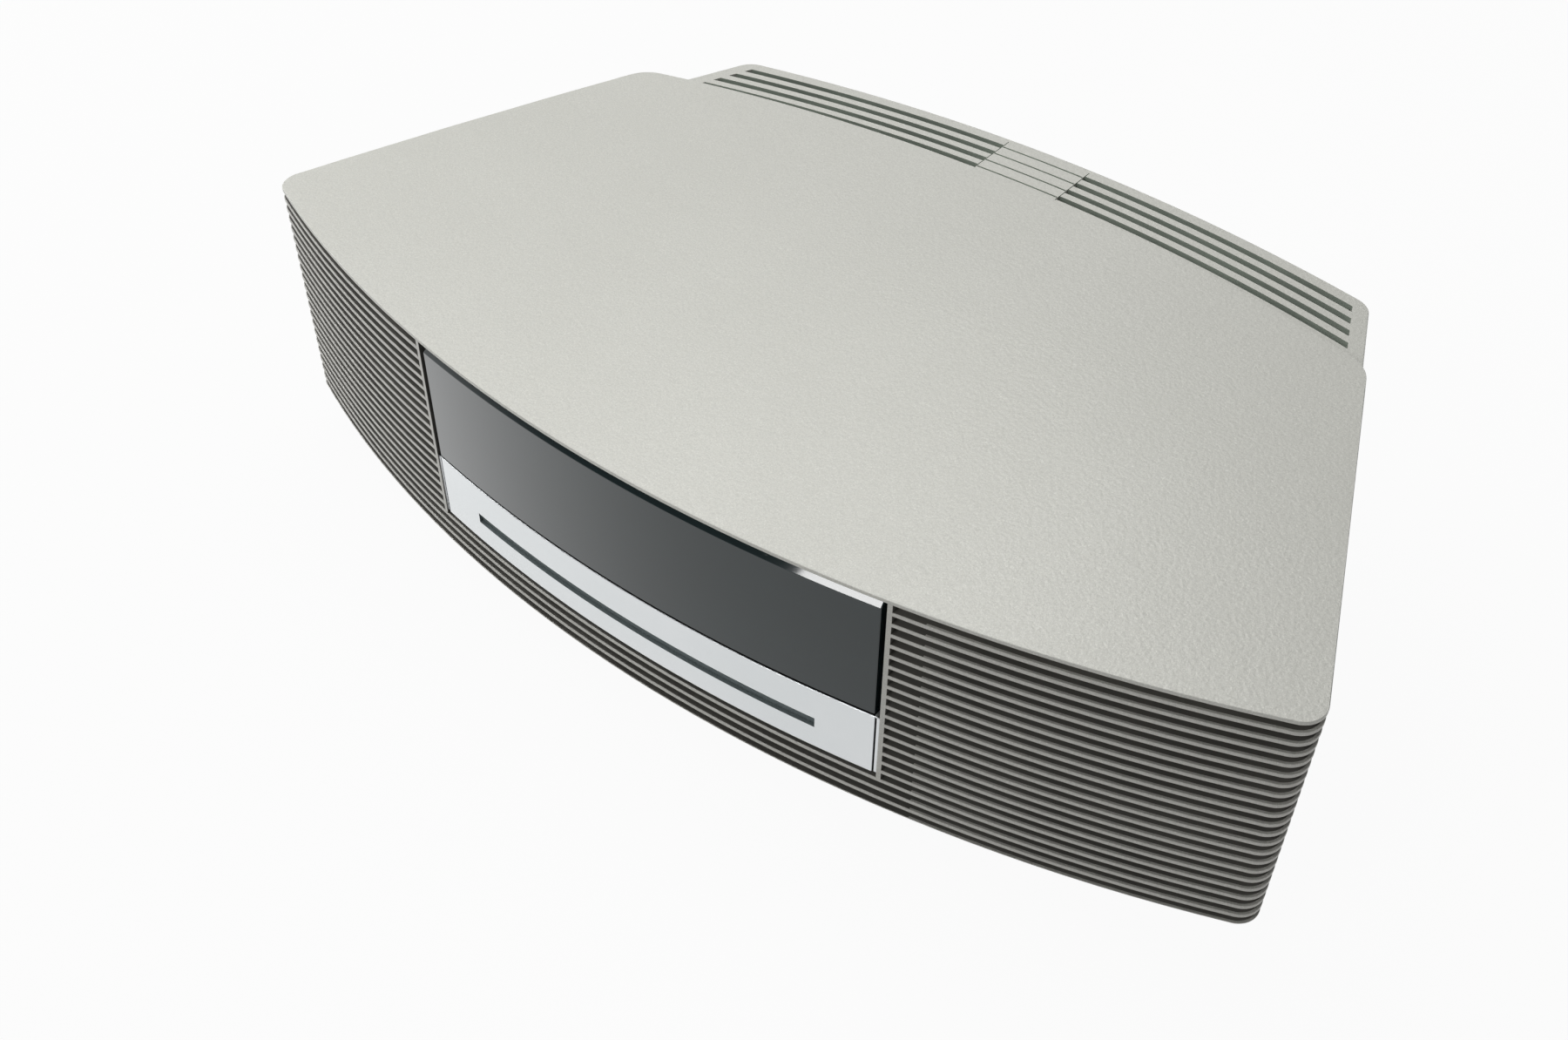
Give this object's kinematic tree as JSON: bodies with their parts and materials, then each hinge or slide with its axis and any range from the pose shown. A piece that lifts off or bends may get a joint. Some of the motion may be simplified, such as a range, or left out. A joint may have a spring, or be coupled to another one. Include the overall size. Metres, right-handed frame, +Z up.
{
  "type": "tabletop disc radio",
  "caption": "Compact one-piece tabletop disc player and radio with a bowed, ribbed housing, a front display window, a disc slot and curved top vents.",
  "frame": {"origin": "centre of the bounding box on the plane the feet stand on", "axes": "+Z up, front faces -Y, +X to the right seen from the front"},
  "size_m": [0.366, 0.2196, 0.0997],
  "materials": {
    "platinum plastic": "fine leather grain, satin",
    "rib plastic": "satin",
    "black plastic": "fine grain, matt",
    "black frame": "matt",
    "tinted lens": "polished, tinted grey-green",
    "bright silver plastic": "satin silver paint",
    "felt": "short pile",
    "black rubber": "matt",
    "screw steel": "blackened",
    "grille cloth": "woven",
    "basket steel": "black paint",
    "magnet ferrite": "matt",
    "cone paper": "matt",
    "spider cloth": "varnished",
    "duct plastic": "matt",
    "circuit board": "solder mask",
    "tube glass": "polished",
    "heat sink aluminium": "extruded",
    "transformer core": "varnished laminations",
    "socket plastic": "matt",
    "sheet steel": "zinc plated",
    "motor steel": "plated",
    "shaft steel": "ground",
    "gear plastic": "acetal",
    "brass pinion": "machined",
    "dark plastic": "matt",
    "traverse steel": "grey paint"
  },
  "bodies": {
    "housing": {"top_cover": "platinum plastic", "ribbed_wrap": "rib plastic", "vent_grille": "platinum plastic", "base_tray": "black plastic", "rear_panel": "black plastic", "display_frame": "black frame", "display_lens": "tinted lens", "disc_fascia": "bright silver plastic", "slot_felt": "felt", "rubber_feet": "black rubber", "case_screws": "screw steel", "cloth_left": "grille cloth", "cloth_right": "grille cloth", "basket_left": "basket steel", "magnet_left": "magnet ferrite", "surround_left": "black rubber", "spider_left": "spider cloth", "duct_left": "duct plastic", "basket_right": "basket steel", "magnet_right": "magnet ferrite", "surround_right": "black rubber", "spider_right": "spider cloth", "duct_right": "duct plastic", "display_board": "circuit board", "display_tube": "tube glass", "main_board": "circuit board", "heat_sink": "heat sink aluminium", "transformer": "transformer core", "jack_block": "socket plastic", "data_socket": "socket plastic", "mains_inlet": "socket plastic", "drive_chassis": "sheet steel", "drive_mounts": "black rubber", "disc_guide": "sheet steel", "load_motor": "motor steel"},
    "platter": {"turntable": "dark plastic"},
    "puck": {"clamp_puck": "dark plastic"},
    "clamp": {"clamp_arm": "traverse steel"},
    "traverse": {"traverse": "traverse steel", "guide_rods": "shaft steel", "spindle_motor": "motor steel", "sled_motor": "motor steel"},
    "pickup": {"pickup": "dark plastic"},
    "sled_gear": {"sled_gear": "gear plastic"},
    "sled_pinion": {"sled_pinion": "brass pinion"},
    "roller": {"roller_axle": "shaft steel", "roller_rubber": "black rubber"},
    "load_idler": {"load_idler": "gear plastic"},
    "load_pinion": {"load_pinion": "brass pinion"},
    "cone_left": {"cone_left": "cone paper"},
    "cone_right": {"cone_right": "cone paper"}
  },
  "joints": [
    {"name": "turntable_spin", "type": "hinge", "parent": "traverse", "child": "platter", "pos_m": [0, -0.02, 0.03749], "axis": [0, 0, 1], "continuous": true},
    {"name": "puck_spin", "type": "hinge", "parent": "clamp", "child": "puck", "pos_m": [0, -0.02, 0.04169], "axis": [0, 0, 1], "continuous": true},
    {"name": "clamp_lift", "type": "hinge", "parent": "housing", "child": "clamp", "pos_m": [0, 0.044, 0.04799], "axis": [1, 0, 0], "range_deg": [-6, 0]},
    {"name": "traverse_tilt", "type": "hinge", "parent": "housing", "child": "traverse", "pos_m": [0, 0.032, 0.02509], "axis": [1, 0, 0], "range_deg": [0, 5.2]},
    {"name": "pickup_slide", "type": "slide", "parent": "traverse", "child": "pickup", "axis": [1, 0, 0], "range_m": [0, 0.031]},
    {"name": "sled_gear_spin", "type": "hinge", "parent": "traverse", "child": "sled_gear", "pos_m": [0.025, 0.014, 0.03009], "axis": [0, 0, 1], "range_deg": [0, 222.5]},
    {"name": "sled_pinion_spin", "type": "hinge", "parent": "traverse", "child": "sled_pinion", "pos_m": [0.0386, 0.014, 0.03009], "axis": [0, 0, 1], "range_deg": [-317.7, 0]},
    {"name": "roller_spin", "type": "hinge", "parent": "housing", "child": "roller", "pos_m": [0, -0.087, 0.03229], "axis": [1, 0, 0], "continuous": true},
    {"name": "load_idler_spin", "type": "hinge", "parent": "housing", "child": "load_idler", "pos_m": [0, -0.07032, 0.02451], "axis": [1, 0, 0], "continuous": true},
    {"name": "load_pinion_spin", "type": "hinge", "parent": "housing", "child": "load_pinion", "pos_m": [0, -0.05487, 0.02037], "axis": [1, 0, 0], "continuous": true},
    {"name": "cone_left_travel", "type": "slide", "parent": "housing", "child": "cone_left", "axis": [0.2681, 0.9634, 0], "range_m": [-0.002, 0.002], "stiffness_N_per_m": 1400, "deforming": ["surround_left", "spider_left"]},
    {"name": "cone_right_travel", "type": "slide", "parent": "housing", "child": "cone_right", "axis": [-0.2681, 0.9634, 0], "range_m": [-0.002, 0.002], "stiffness_N_per_m": 1400, "deforming": ["surround_right", "spider_right"]}
  ],
  "couplings": [
    {"joint": "sled_gear_spin", "follows": "pickup_slide", "rad_per_m": 125},
    {"joint": "sled_pinion_spin", "follows": "pickup_slide", "rad_per_m": -178.57},
    {"joint": "load_idler_spin", "follows": "roller_spin", "ratio": -0.64286},
    {"joint": "load_pinion_spin", "follows": "roller_spin", "ratio": 1.5}
  ]
}
